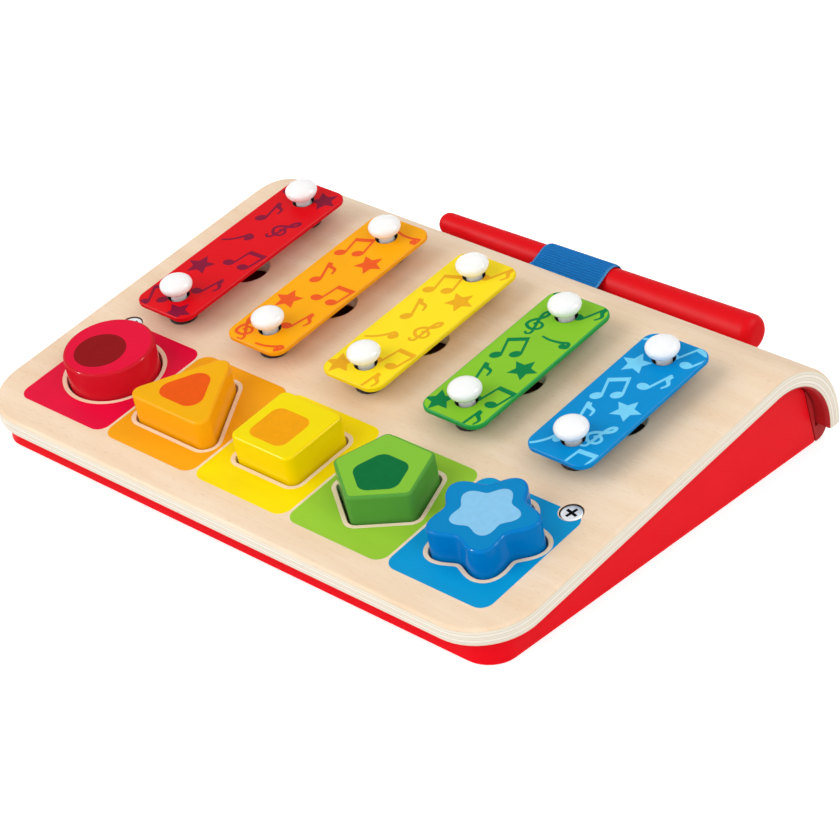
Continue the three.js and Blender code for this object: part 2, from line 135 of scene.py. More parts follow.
sky = cleared(bpy.data.worlds.new("studio_sky"))
bpy.context.scene.world = sky
sky_strength = add_node(sky, "ShaderNodeMath", {
    0: seen_share(sky), 1: 1 - sky_level, 2: sky_level}, operation="MULTIPLY_ADD").outputs[0]
sky_light = add_node(sky, "ShaderNodeBackground", {"Color": (1, 1, 1, 1), "Strength": sky_strength})
add_node(sky, "ShaderNodeOutputWorld", {"Surface": sky_light.outputs[0]})

for name, (level, spread, lamp_from, lights_all) in studio_lamps.items():
    lamp_data = bpy.data.lights.new(name, "SUN")
    lamp_data.energy = level
    lamp_data.angle = math.radians(spread)
    lamp = add_object(name, lamp_data)
    lamp.matrix_world = Vector(lamp_from).to_track_quat("Z", "Y").to_matrix().to_4x4()
    lamp.visible_diffuse = lights_all

floor_paper = cleared(bpy.data.materials.new("white_paper_sweep"))
floor_lit = add_node(floor_paper, "ShaderNodeBsdfDiffuse", {"Color": (floor_grey,) * 3 + (1,)})
floor_shine = add_node(floor_paper, "ShaderNodeMath", {
    0: seen_share(floor_paper), 1: floor_glow}, operation="MULTIPLY").outputs[0]
floor_white = add_node(floor_paper, "ShaderNodeEmission", {"Strength": floor_shine})
floor_sum = add_node(floor_paper, "ShaderNodeAddShader", {0: floor_lit.outputs[0], 1: floor_white.outputs[0]})
add_node(floor_paper, "ShaderNodeOutputMaterial", {"Surface": floor_sum.outputs[0]})

floor_mesh = bpy.data.meshes.new("studio_floor")
floor_mesh.from_pydata(
    [(x * floor_half, y * floor_half, -floor_drop) for x, y in ((-1, -1), (1, -1), (1, 1), (-1, 1))],
    [], [(0, 1, 2, 3)])
floor_mesh.materials.append(floor_paper)
floor = add_object("studio_floor", floor_mesh)


# Top board: one sheet of birch plywood, seven thin plies, steamed and pressed over a former so
# that it bends down at the rear, then routed, sanded, sealed with a clear satin lacquer and
# screen printed with five colour patches that leave a rim of bare wood round each hole.
mm = 0.001
board_width = 285
board_thickness = 8.6
board_front_corner = 26
board_front_height = 18.4
board_edge_round = 2
corner_steps = 14
mitre_limit = 0.3
weld_gap = 0.0002
hair = 0.01
tiny = 1e-6
hole_edge_round = 0.35
flat_length = 174.3
bend_radius = 39.5
bend_steps = 26
rear_edge_height = 8.1
plies = 7
glue_fade = 0.1
ply_wander = 0.03
lacquer_ior = 1.48

sorter_pitch = 51.2
sorter_row = 46.57
sorter_clearance = 0.9
round_radius = 19.3
triangle_radius = 27.7
triangle_corner = 4.4
triangle_drop = 4.6
square_radius = 23.2
square_corner = 3.5
pentagon_radius = 21.4
pentagon_corner = 3.1
star_radius = 22.6
star_valley = 16.3

bar_pitch = 51.6
bar_row = 128.17
bar_row_step = -0.3
longest_bar = 103.3
bar_length_step = 5.3
peg_margin = 12.45
peg_hole_radius = 2.7
sound_hole_radius = 10
screw_row = 73.97
screw_from_side = 22.3
screw_seat_radius = 4.8
# How far round each screw seat the painted shade of its wall reaches.
seat_shade_reach = 0.1

patch_width = 50
patch_front = 14
patch_back = 74.3
patch_corner = 5.5
bare_rim = 1.95
screw_rim = 0.5

birch_light = "#F6DFC4"
birch_warm = "#EED0AE"
birch_fleck = "#D9B48C"
ply_long_grain = "#FEF8EB"
ply_end_grain = "#F4ECDB"
ply_glue_line = "#CBB590"
ply_void = "#A88C6C"
# Painted shade on the walls of the screw seats, a dark brown.
seat_wall_shade_brown = "#4A3424"
# Painted shade under the bend: the rear rail's deeper red, and how much of the board's arris takes it.
rear_rail_painted_shade_red = "#BE2C30"
painted_shade_arris_share = 0.65
black = "#000000"
patch_colours = ["#EB053C", "#FAA810", "#FFE200", "#9BCD38", "#009AD5"]

colour_names = ["red", "orange", "yellow", "green", "blue"]
quarter = math.pi / 2
slope = math.atan2(-frame["joints"][0]["axis"][1], frame["joints"][0]["axis"][2])
board_corner = Vector((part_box("top_board")[0][0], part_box("top_board")[0][1], board_front_height * mm))
board_place = Matrix.Translation(board_corner) @ Matrix.Rotation(slope, 4, "X") @ Matrix.Scale(mm, 4)
bend_middle_height = board_front_height + flat_length * math.sin(slope) - bend_radius * math.cos(slope)
bend_sweep = quarter + slope - math.asin(
    (rear_edge_height - bend_middle_height) / (bend_radius - board_thickness))
row = range(len(colour_names))
middle_number = (len(colour_names) - 1) / 2
sorter_x = [board_width / 2 + sorter_pitch * (number - middle_number) for number in row]
bar_x = [board_width / 2 + bar_pitch * (number - middle_number) for number in row]
bar_y = [bar_row + bar_row_step * number for number in row]
half_bar = [(longest_bar - bar_length_step * number) / 2 for number in row]


def curve_points(centre, radii, start, end, steps):
    """Points along a piece of an ellipse, both ends included."""
    angles = [start + (end - start) * i / steps for i in range(steps + 1)]
    return [(centre[0] + radii[0] * math.cos(a), centre[1] + radii[1] * math.sin(a)) for a in angles]


def arc(centre, radius, start, end, steps):
    return [Vector(spot) for spot in curve_points(centre, (radius, radius), start, end, steps)]


def circle(centre, radius, steps=48):
    return arc(centre, radius, 0, 2 * math.pi, steps)[:-1]


def rounded_figure(centre, sides, radius, corner, first_angle, steps=9):
    """A regular figure with rounded corners."""
    hub_reach = radius - corner / math.cos(math.pi / sides)
    points = []
    for i in range(sides):
        angle = first_angle + 2 * math.pi * i / sides
        hub = (centre[0] + hub_reach * math.cos(angle), centre[1] + hub_reach * math.sin(angle))
        points += arc(hub, corner, angle - math.pi / sides, angle + math.pi / sides, steps)
    return points


def soft_star(centre, radius, valley, steps=110):
    """A star of five soft lobes, one of them up the slope."""
    points = []
    for i in range(steps):
        angle = 2 * math.pi * i / steps
        reach = (radius + valley) / 2 + (radius - valley) / 2 * math.cos(5 * angle)
        points.append(Vector((
            centre[0] + reach * math.cos(angle + quarter), centre[1] + reach * math.sin(angle + quarter))))
    return points


def rounded_box(left, right, front, back, corner, steps=8):
    return (
        arc((left + corner, front + corner), corner, math.pi, 3 * quarter, steps)
        + arc((right - corner, front + corner), corner, 3 * quarter, 4 * quarter, steps)
        + arc((right - corner, back - corner), corner, 0, quarter, steps)
        + arc((left + corner, back - corner), corner, quarter, math.pi, steps))


def grown(outline, amount):
    """The outline moved outwards by the same amount all round, or inwards by a negative one."""
    moved = []
    for before, here, after in zip(outline[-1:] + outline[:-1], outline, outline[1:] + outline[:1]):
        first = (here - before).normalized()
        second = (after - here).normalized()
        out = Vector((first.y + second.y, -first.x - second.x)).normalized()
        moved.append(here + out * amount / max(mitre_limit, out.dot(Vector((first.y, -first.x)))))
    return moved


sorter_figures = {
    "round": lambda centre: circle(centre, round_radius, 80),
    "triangle": lambda centre: rounded_figure(
        (centre[0], centre[1] - triangle_drop), 3, triangle_radius, triangle_corner, quarter),
    "square": lambda centre: rounded_figure(centre, 4, square_radius, square_corner, quarter / 2),
    "pentagon": lambda centre: rounded_figure(centre, 5, pentagon_radius, pentagon_corner, -quarter),
    "star": lambda centre: soft_star(centre, star_radius, star_valley),
}


def face_of(outer, holes, inks, crossings):
    """Triangles of a flat face inside the outline and outside its holes. Inks are pairs of a material's
    number and its shapes, and the last one that covers a triangle colours it."""
    labels = ["outline"] + ["hole"] * len(holes) + [number for number, shapes in inks for _ in shapes]
    points = []
    loops = []
    for loop in [outer, *holes, *[shape for _, shapes in inks for shape in shapes]]:
        loops.append(list(range(len(points), len(points) + len(loop))))
        points += loop
    spots, _, triangles, _, _, covers = delaunay_2d_cdt(points, crossings, loops, 1, tiny)
    kept = []
    for triangle, cover in zip(triangles, covers):
        found = [labels[i] for i in sorted(cover)]
        if "outline" in found and "hole" not in found:
            numbers = [label for label in found if label != "outline"]
            kept.append((triangle, numbers[-1] if numbers else 0))
    return spots, kept


def mesh_from(made, name):
    """The mesh that a bmesh was built for."""
    mesh = bpy.data.meshes.new(name)
    made.to_mesh(mesh)
    made.free()
    return mesh


def plate(name, outer, holes, top, bottom, edge_round, hole_round=0, inks=(), crossings=(),
          cap_number=0, side_number=0, hole_number=0, round_steps=4):
    """A plate with rounded edges, in millimetres: caps with their printed inks, and walls all round.
    The numbers are those of the materials for the upper cap, the outer wall and the holes' walls."""
    made = bmesh.new()

    def ring(outline, radius, inwards, angle, upper):
        edge = grown(outline, inwards * radius * (1 - math.sin(angle)))
        drop = radius * (1 - math.cos(angle))
        height = top - drop if upper else bottom + drop
        return [made.verts.new((spot.x, spot.y, height)) for spot in edge]

    angles = [quarter * i / round_steps for i in range(round_steps + 1)]
    walls = [(outer, edge_round, -1, side_number)] + [(hole, hole_round, 1, hole_number) for hole in holes]
    for outline, radius, inwards, number in walls:
        rings = [ring(outline, radius, inwards, angle, True) for angle in angles]
        rings += [ring(outline, radius, inwards, angle, False) for angle in reversed(angles)]
        for upper, lower in zip(rings, rings[1:]):
            for i in range(len(upper)):
                j = (i + 1) % len(upper)
                quad = [lower[i], lower[j], upper[j], upper[i]]
                made.faces.new(quad if inwards < 0 else quad[::-1]).material_index = number
    cap_outer = grown(outer, -edge_round)
    cap_holes = [grown(hole, hole_round) for hole in holes]
    for height, cap_inks, flip in ((top, inks, False), (bottom, (), True)):
        spots, kept = face_of(cap_outer, cap_holes, cap_inks, crossings)
        corners = [made.verts.new((spot.x, spot.y, height)) for spot in spots]
        for triangle, number in kept:
            face = [corners[i] for i in triangle]
            face = made.faces.new(face[::-1] if flip else face)
            face.material_index = number or (cap_number if not flip else side_number)
    bmesh.ops.remove_doubles(made, verts=made.verts, dist=weld_gap)
    bmesh.ops.delete(made, geom=[vert for vert in made.verts if not vert.link_faces], context="VERTS")
    return mesh_from(made, name)


def add_piece(mesh, body, materials, node, sharp=40, weighted=True):
    """Puts a finished mesh in the scene for its CAD node: smooth but for its sharp edges, and riding on
    its body. The piece has the mesh's name."""
    mesh.shade_smooth()
    mesh.set_sharp_from_angle(angle=math.radians(sharp))
    for material in materials:
        mesh.materials.append(material)
    piece = add_object(mesh.name, mesh)
    if weighted:
        normals = piece.modifiers.new("flat_faces_stay_flat", "WEIGHTED_NORMAL")
        normals.keep_sharp = True
    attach(piece, body)
    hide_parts(node)
    return piece


def new_material(name):
    """An empty material and its surface coordinates, in metres."""
    made = cleared(bpy.data.materials.new(name))
    return made, add_node(made, "ShaderNodeTexCoord").outputs["Object"]


def grain_noise(owner, place, sizes, detail=2, rough=0.5):
    """Cloudy noise whose spots measure so many millimetres along x, y and z."""
    spread = add_node(owner, "ShaderNodeMapping", {
        "Vector": place, "Scale": [1 / (size * mm) for size in sizes]}).outputs[0]
    return add_node(owner, "ShaderNodeTexNoise", {
        "Vector": spread, "Scale": 1, "Detail": detail, "Roughness": rough}).outputs["Fac"]


def stained(owner, base, stain, value, low=0, high=1, most=1):
    """A colour with another laid over it: not at all where the value is low, by the most where it is
    high. Each colour is a hex one or one that varies over the surface."""
    share = add_node(owner, "ShaderNodeMapRange", {
        "Value": value, "From Min": low, "From Max": high, "To Max": most}).outputs[0]
    return add_node(owner, "ShaderNodeMix", {0: share, 6: base, 7: stain}, data_type="RGBA").outputs[2]


def surfaced(owner, colour, gloss, bump=None, specular=0.5, numbers=None):
    """The material with its shader. Gloss is a value and the two ends of the roughness that wanders with
    it, bump is a height from 0 to 1 and its depth in millimetres, and numbers are the other sockets that
    differ from the shader's own."""
    value, low, high = gloss
    rough = add_node(owner, "ShaderNodeMapRange", {"Value": value, "To Min": low, "To Max": high})
    inputs = {"Base Color": colour, "Roughness": rough.outputs[0], "Specular IOR Level": specular}
    inputs.update(numbers or {})
    if bump:
        relief = add_node(owner, "ShaderNodeBump", {"Height": bump[0], "Distance": bump[1] * mm})
        inputs["Normal"] = relief.outputs[0]
    shader = add_node(owner, "ShaderNodeBsdfPrincipled", inputs)
    add_node(owner, "ShaderNodeOutputMaterial", {"Surface": shader.outputs[0]})
    return owner


def birch_plywood():
    """Lacquered rotary-cut birch: pale and even, with soft clouds and short fine flecks along the board.
    Where the depth under the face is more than the veneer, the plies show, every other one end grain,
    with a thin glue line between them. The walls of the screw seats are painted dark brown: painted shade."""
    made, place = new_material("birch_plywood")
    clouds = grain_noise(made, place, (46, 9, 9), 3)
    streaks = grain_noise(made, place, (22, 1.1, 1.1), rough=0.6)
    flecks = grain_noise(made, place, (3.4, 0.7, 0.7), 1)
    face = add_node(made, "ShaderNodeValToRGB", {"Fac": clouds}, [
        (0.3, birch_light), (0.75, birch_warm)]).outputs[0]
    face = stained(made, face, birch_warm, streaks, 0.45, 0.8, 0.5)
    face = stained(made, face, birch_fleck, flecks, 0.6, 0.8, 0.38)

    depth = add_node(made, "ShaderNodeAttribute", attribute_name="ply_depth").outputs["Fac"]
    wander = grain_noise(made, place, (30, 30, 30), 1)
    layer = add_node(made, "ShaderNodeMath", {
        0: wander, 1: ply_wander, 2: depth}, operation="MULTIPLY_ADD").outputs[0]
    bands = []
    for number in range(plies - 1):
        colour = ply_end_grain if number % 2 else ply_long_grain
        bands += [((number + glue_fade) / plies, colour), ((number + 1 - glue_fade) / plies, colour),
                  ((number + 1) / plies, ply_glue_line)]
    bands.append(((plies - 1 + glue_fade) / plies, ply_long_grain))
    edge = add_node(made, "ShaderNodeValToRGB", {"Fac": layer}, bands).outputs[0]
    fibres = grain_noise(made, place, (1.5, 1.5, 0.25))
    edge = stained(made, edge, birch_warm, fibres, 0.5, 0.8, 0.2)
    voids = grain_noise(made, place, (2.4, 2.4, 0.5), 1)
    edge = stained(made, edge, ply_void, voids, 0.75, 0.8, 0.7)
    face_share = (1 - glue_fade) / plies
    below_face = add_node(made, "ShaderNodeMath", {
        0: depth, 1: 0.5, 2: 0.5 - face_share}, operation="COMPARE").outputs[0]
    # The screw seats' walls take a dark brown: painted shade in the seats.
    seat_shade_mask = add_node(made, "ShaderNodeAttribute", attribute_name="seat_shade_mask").outputs["Fac"]
    colour = stained(made, stained(made, face, edge, below_face), seat_wall_shade_brown, seat_shade_mask)
    return surfaced(made, colour, (clouds, 0.42, 0.55), (streaks, 0.03), 0.12, {"IOR": lacquer_ior})


def screen_ink(name, colour):
    """Screen-printing ink, opaque and satin, rolled flat but thin enough that the grain lifts it a little."""
    made, place = new_material(name)
    streaks = grain_noise(made, place, (18, 0.9, 0.9), rough=0.6)
    clouds = grain_noise(made, place, (30, 14, 14))
    base = stained(made, colour, black, clouds, 0.3, 0.7, 0.1)
    return surfaced(made, base, (streaks, 0.38, 0.5), (streaks, 0.02), 0.08, {"IOR": lacquer_ior})


def sprayed_lacquer(name, colour, gloss=(0.3, 0.4), depth=0.012):
    """Two-pack lacquer sprayed on sanded wood: even and deep in colour, a soft semi-gloss with faint
    orange peel, and the wood's grain just felt under it."""
    made, place = new_material(name)
    clouds = grain_noise(made, place, (35, 25, 25))
    peel = grain_noise(made, place, (1.6, 1.6, 1.6))
    base = stained(made, colour, black, clouds, most=0.1)
    return surfaced(made, base, (clouds, *gloss), (peel, depth), 0.05, {"IOR": lacquer_ior})


side_lengths = [flat_length + bend_radius * bend_sweep * i / bend_steps for i in range(bend_steps + 1)]
board_outline = []
for x, start in ((board_front_corner, math.pi), (board_width - board_front_corner, 3 * quarter)):
    board_outline += arc(
        (x, board_front_corner), board_front_corner, start, start + quarter, corner_steps)
board_outline += [Vector((board_width, length)) for length in side_lengths]
board_outline += [Vector((0, length)) for length in reversed(side_lengths)]
first_side_point = 2 * (corner_steps + 1)
last_point = len(board_outline) - 1
bend_lines = [(first_side_point + i, last_point - i) for i in range(bend_steps)]

figure_holes = [
    grown(figure((x, sorter_row)), sorter_clearance) for x, figure in zip(sorter_x, sorter_figures.values())]
screw_posts = {"left": screw_from_side, "right": board_width - screw_from_side}
screw_seats = [circle((x, screw_row), screw_seat_radius) for x in screw_posts.values()]
sound_holes = [circle(middle, sound_hole_radius) for middle in zip(bar_x, bar_y)]
peg_posts = [(f"{name}_{end}", x, y + side * (half - peg_margin))
             for name, x, y, half in zip(colour_names, bar_x, bar_y, half_bar)
             for end, side in (("front", -1), ("rear", 1))]
peg_holes = [circle((x, y), peg_hole_radius, 24) for _, x, y in peg_posts]
patches = [
    rounded_box(x - patch_width / 2, x + patch_width / 2, patch_front, patch_back, patch_corner)
    for x in sorter_x]
board_inks = [(number + 1, [patch]) for number, patch in enumerate(patches)]
board_inks.append((0, [grown(hole, bare_rim) for hole in figure_holes]))
board_inks.append((0, [grown(seat, screw_rim) for seat in screw_seats]))

board_mesh = plate(
    "bent_board", board_outline, figure_holes + screw_seats + sound_holes + peg_holes,
    0, -board_thickness, board_edge_round, hole_edge_round, board_inks, bend_lines)
# The inside of the bend, with most of its arris, takes the rear rail's deeper red: painted shade under the
# bend.
for face in board_mesh.polygons:
    spots = [board_mesh.vertices[i].co for i in face.vertices]
    inside = max(spot.z for spot in spots) < painted_shade_arris_share * board_edge_round - board_thickness
    if inside and min(spot.y for spot in spots) > flat_length - hair:
        face.material_index = len(patches) + 1
depths = board_mesh.attributes.new("ply_depth", "FLOAT", "POINT")
seat_shade_marks = board_mesh.attributes.new("seat_shade_mask", "FLOAT", "POINT")
for vertex in board_mesh.vertices:
    depths.data[vertex.index].value = -vertex.co.z / board_thickness
    # Points in and just round the screw seats get the painted shade of the seat walls.
    from_seat = min((vertex.co.xy - Vector((x, screw_row))).length for x in screw_posts.values())
    seat_shade_marks.data[vertex.index].value = from_seat < screw_seat_radius + seat_shade_reach
    past = vertex.co.y - flat_length
    if past > 0:
        angle = past / bend_radius
        reach = bend_radius + vertex.co.z
        vertex.co.y = flat_length + reach * math.sin(angle)
        vertex.co.z = reach * math.cos(angle) - bend_radius
board_mesh.transform(board_place)
board_finishes = [birch_plywood()] + [
    screen_ink(f"{name}_patch_ink", colour) for name, colour in zip(colour_names, patch_colours)]
# Painted shade: the rear rail and the inside of the bend take a deeper red than the base.
rear_painted_shade_lacquer = sprayed_lacquer("rear_rail_painted_shade_lacquer", rear_rail_painted_shade_red)
board_finishes.append(rear_painted_shade_lacquer)
add_piece(board_mesh, "base", board_finishes, "top_board")


# Base: four beech boards glued into a wedge and sprayed red with a semi-gloss lacquer. The front
# rail turns both front corners; the rear rail fills the bend and sits in its shade, painted a
# deeper red as painted shade. The arrises are rubbed down before the paint, which hides the glue lines.
base_red = "#F80C1E"
arris_radius = 0.8
rear_arris_radius = 0.6
glue_line = 0.3
flat_angle = math.radians(0.5)
arris_angle = math.radians(30)


def eased_copy(board, radius, glued_end, drawn_out):
    """The CAD board with its arrises rubbed round. A glued end, the front (-1) or the back (1), stays
    square, and is drawn out so many millimetres to its neighbour."""
    made = bmesh.new()
    made.from_mesh(frame["nodes"][f"base_{board}"].data)
    bmesh.ops.remove_doubles(made, verts=made.verts, dist=tiny)
    bmesh.ops.dissolve_limit(made, angle_limit=flat_angle, verts=made.verts, edges=made.edges)
    reach = max(glued_end * vert.co.y for vert in made.verts)
    glued = {vert for vert in made.verts if glued_end and glued_end * vert.co.y > reach - hair * mm}
    for vert in glued:
        vert.co.y += glued_end * drawn_out * mm
    edges = [edge for edge in made.edges
             if edge.calc_face_angle(0) > arris_angle and not all(vert in glued for vert in edge.verts)]
    bmesh.ops.bevel(made, geom=edges, offset=radius * mm, segments=3, profile=0.5,
                    affect="EDGES", clamp_overlap=True)
    return mesh_from(made, board)


base_lacquer = sprayed_lacquer("base_red_lacquer", base_red)
for board, lacquer, radius, glued_end, drawn_out in (
        ("front_rail", base_lacquer, arris_radius, 1, glue_line),
        ("left_side", base_lacquer, arris_radius, -1, 0),
        ("right_side", base_lacquer, arris_radius, -1, 0),
        ("rear_rail", rear_painted_shade_lacquer, rear_arris_radius, 0, 0)):
    add_piece(eased_copy(board, radius, glued_end, drawn_out), "base", [lacquer],
              f"base_{board}")


# Under the board: the sorter's floor, the cross rail and the two blocks that the screws bite into,
# and the thin panel that closes the base. Plain sawn wood, glued in and left unpainted.
sawn_light = "#DDC39A"
sawn_dark = "#C29E6C"


def sawn_wood():
    """Planed softwood without a finish: dry and matt, with darker late wood along its length."""
    made, place = new_material("sawn_wood")
    rings = grain_noise(made, place, (90, 3.5, 3.5), 3, 0.6)
    fibres = grain_noise(made, place, (8, 0.5, 0.5))
    base = add_node(made, "ShaderNodeValToRGB", {"Fac": rings}, [
        (0.35, sawn_light), (0.68, sawn_dark)]).outputs[0]
    return surfaced(made, base, (fibres, 0.65, 0.85), (fibres, 0.06))


def refinish(node, material):
    """Gives a CAD solid that stays in sight a finish of its own."""
    finishes = frame["nodes"][node].data.materials
    finishes.clear()
    finishes.append(material)


plain_wood = sawn_wood()
for node in ("sorter_floor", "cross_rail", "left_screw_block", "right_screw_block", "bottom_panel"):
    refinish(node, plain_wood)


# Sorting blocks: beech turned or cut to its figure, the arrises rounded over, dipped in glossy paint
# and pad printed on top with a smaller figure of the same kind. They stand loose in their holes.
block_depth = 10
block_rise = 12.7
block_edge_round = 1.2
block_side_gloss = (0.11, 0.18)
block_top_gloss = (0.13, 0.2)
block_peel = 0.006
printed_circle = 11.1
printed_triangle = 17.1
printed_triangle_corner = 5.6
printed_square = 13.7
printed_square_corner = 4.4
printed_pentagon = 12.3
printed_pentagon_corner = 4.9
printed_star = 14
printed_star_valley = 10.2

# For each figure: the colour of its sides, its top and its print. The sides mostly take a darker copy of the
# top's paint: painted shade.
block_colours_with_shaded_sides = {
    "round": ("#D81A2C", "#EA0539", "#8C040A"),
    "triangle": ("#FDB010", "#F8B205", "#ED5808"),
    "square": ("#FEDE00", "#F9E003", "#F4A204"),
    "pentagon": ("#5AA03E", "#86C43A", "#006D36"),
    "star": ("#007DCA", "#0087C6", "#8AC7EC"),
}
# The pad was lined up by hand, so each print stands a little off its block's middle.
printed_figures = {
    "round": circle((-1.1, -3.7), printed_circle, 64),
    "triangle": rounded_figure((-0.6, -4), 3, printed_triangle, printed_triangle_corner, quarter),
    "square": rounded_figure((-1.3, -2.4), 4, printed_square, printed_square_corner, quarter / 2),
    "pentagon": rounded_figure((1.6, -3.1), 5, printed_pentagon, printed_pentagon_corner, -quarter),
    "star": soft_star((0.1, 0.7), printed_star, printed_star_valley),
}


def pad_ink(name, colour):
    """Pad-printing ink: a thin even film, a little duller than the paint that it lies on."""
    made, place = new_material(name)
    spots = grain_noise(made, place, (2.5, 2.5, 2.5))
    base = stained(made, colour, black, spots, 0.35, 0.75, 0.07)
    return surfaced(made, base, (spots, 0.34, 0.44), (spots, 0.006), 0.05)


def set_on_board(mesh, x, y, z=0):
    """Moves a mesh, drawn in millimetres round its own middle, to its spot on the board."""
    mesh.transform(board_place @ Matrix.Translation((x, y, z)))


for number, (figure, outline) in enumerate(sorter_figures.items()):
    shaded_side_colour, top_colour, print_colour = block_colours_with_shaded_sides[figure]
    block_mesh = plate(
        f"{figure}_sorter", outline((0, 0)), [], block_rise, -block_depth, block_edge_round,
        inks=[(2, [printed_figures[figure]])], cap_number=1, round_steps=6)
    set_on_board(block_mesh, sorter_x[number], sorter_row)
    add_piece(
        block_mesh, f"{figure}_sorting_block",
        [sprayed_lacquer(f"{figure}_side_gloss", shaded_side_colour, block_side_gloss, block_peel),
         sprayed_lacquer(f"{figure}_top_gloss", top_colour, block_top_gloss, block_peel),
         pad_ink(f"{figure}_figure_ink", print_colour)],
        f"{figure}_block")


# Tone bars: steel strip cropped to five lengths, its corners rounded, powder coated in gloss colours
# and printed with plain notes and stars. Each has two wide holes and floats on its pads.
bar_width = 31
bar_thickness = 2.2
bar_corner = 6
bar_edge_round = 0.6
bar_hole_radius = 4.65
bar_hole_round = 0.25
motif_scale = 1.08
motif_step = 3
pad_height = 8.4
seat_gap = 0.3
bar_bottom = pad_height + 2 * seat_gap
bar_top = bar_bottom + bar_thickness

bar_colours = ["#E00515", "#FDAC08", "#FFE222", "#87C52E", "#008DD0"]
# The walls of each bar take their own, mostly darker copy of its colour: painted shade on the edges.
bar_shaded_edge_colours = ["#DC0818", "#FAA40C", "#FADA14", "#249E46", "#008AD2"]
bar_ink_colours = ["#850F35", "#EE5A20", "#EFAE1E", "#007F42", "#78D2F5"]
# The walls of the bars' holes are painted nearly black: painted shade inside the holes.
hole_shade_colour = "#3A3430"


def powder_coat(name, colour):
    """Powder coat baked on steel: a thick hard gloss with a fine even texture."""
    made, place = new_material(name)
    clouds = grain_noise(made, place, (28, 28, 28))
    peel = grain_noise(made, place, (1.1, 1.1, 1.1))
    base = stained(made, colour, black, clouds, 0.3, 0.7, 0.06)
    return surfaced(made, base, (peel, 0.29, 0.39), (peel, 0.012), 0.06)


def painted_hole_shade():
    """A punched hole's wall, torn by the punch and painted nearly black: painted shade inside the hole."""
    made, place = new_material("painted_hole_shade")
    tears = grain_noise(made, place, (0.5, 0.5, 1.6))
    base = stained(made, hole_shade_colour, black, tears)
    return surfaced(made, base, (tears, 0.55, 0.75), (tears, 0.03))


def stroke(points, widths):
    """A drawn line as short pieces from point to point, each a shape that never crosses itself."""
    sides = []
    for i, point in enumerate(points):
        run = (points[min(i + 1, len(points) - 1)] - points[max(i - 1, 0)]).normalized()
        across = Vector((-run.y, run.x)) * widths[i] / 2
        sides.append((point - across, point + across))
    pieces = []
    for start, end in zip(sides, sides[1:]):
        corners = [start[0], end[0], end[1], start[1]]
        middle = sum(corners, Vector((0, 0))) / 4
        pieces.append(sorted(corners, key=lambda spot: math.atan2(spot.y - middle.y, spot.x - middle.x)))
    return pieces


def smooth_line(points, steps=6):
    """A smooth line through the points."""
    points = [Vector(spot) for spot in points]
    ends = [points[0]] + points + [points[-1]]
    line = []
    for before, start, end, after in zip(ends, ends[1:], ends[2:], ends[3:]):
        for i in range(steps):
            t = i / steps
            line.append(0.5 * (2 * start + (end - before) * t
                               + (2 * before - 5 * start + 4 * end - after) * t ** 2
                               + (3 * start - before - 3 * end + after) * t ** 3))
    return line + [points[-1]]


def note_head(x, y, half_length=2.5, half_height=1.9, degrees=22):
    tilt = Matrix.Rotation(math.radians(degrees), 2)
    return [Vector((x, y)) + tilt @ Vector((spot.x * half_length, spot.y * half_height))
            for spot in circle((0, 0), 1, 20)]


def single_note():
    """An eighth note: head, stem and one curved flag."""
    flag = smooth_line(((2.2, 11), (3.1, 8.8), (5.5, 7.1), (5.3, 4)))
    widths = [2.3 - 1.5 * i / (len(flag) - 1) for i in range(len(flag))]
    return [note_head(0, 0), rounded_box(1.3, 2.5, 0.4, 11.6, 0.5, 3)] + stroke(flag, widths)


def paired_notes():
    """Two eighth notes under one beam."""
    beam = [Vector(p) for p in ((1.3, 8.3), (9.8, 9.8), (9.8, 12), (1.3, 10.5))]
    return [note_head(0, 0), note_head(7.3, 1.3), rounded_box(1.3, 2.4, 0.4, 10, 0.4, 3),
            rounded_box(8.7, 9.8, 1.7, 11.4, 0.4, 3), beam]


def plain_star(tip=6.2, notch=3):
    """A star of five points."""
    points = []
    for i in range(10):
        reach = notch if i % 2 else tip
        angle = quarter + math.pi * i / 5
        points.append(Vector((reach * math.cos(angle), reach * math.sin(angle))))
    return [points]


def clef():
    """A G clef, drawn as one line that swells and thins."""
    line = smooth_line((
        (-1.9, -5.6), (-1, -6.8), (0.6, -6), (0.6, -3.4), (-0.1, 2.8), (0.1, 6.2), (1.5, 7.6),
        (2.1, 5.8), (0.5, 3.3), (-2.5, 1), (-3.3, -1.7), (-0.7, -3.7), (2.4, -2.9), (2.8, -0.5),
        (0.7, 0.8), (-0.9, -0.9)))
    widths = [1 + 0.5 * math.sin(math.pi * i / (len(line) - 1)) for i in range(len(line))]
    return stroke(line, widths)


def curled_line():
    """A rest-like curl with a round end."""
    line = smooth_line(((-6, -1.9), (-2, -1.1), (1.9, 0.8), (4.5, 2.7), (6.1, 0.8), (4.5, -0.5)))
    widths = [1 + 0.9 * i / (len(line) - 1) for i in range(len(line))]
    return stroke(line, widths) + [circle((4.4, 0.1), 1.5, 20)]


# Where each motif stands: millimetres from the bar's middle line, a share of its half length, and
# its turn. Every bar starts the round with another motif, and some run off the bar's edge.
motif_spots = [
    (-9, 0.93, 15), (8.5, 0.84, -25), (-7.6, 0.5, 12), (6.9, 0.36, -18), (-7, 0.08, 22),
    (7.3, -0.12, -8), (-7.2, -0.36, 16), (7.4, -0.55, -12), (-9.5, -0.84, 30), (8, -0.93, -6)]
motif_centres = {
    paired_notes: (3.7, 5.1), plain_star: (0, 0), single_note: (1.5, 4.8), clef: (0, 0.4),
    curled_line: (0, 0)}
motifs = list(motif_centres) + [paired_notes, plain_star, single_note]


def printed(motif, x, y, degrees):
    """A motif's shapes, turned about its middle and set at its spot on the bar."""
    turned_by = Matrix.Rotation(math.radians(degrees), 2)
    centre = turned_by @ Vector(motif_centres[motif]) * motif_scale
    foot = Vector((x - centre.x, y - centre.y))
    return [[foot + turned_by * motif_scale @ spot for spot in shape] for shape in motif()]
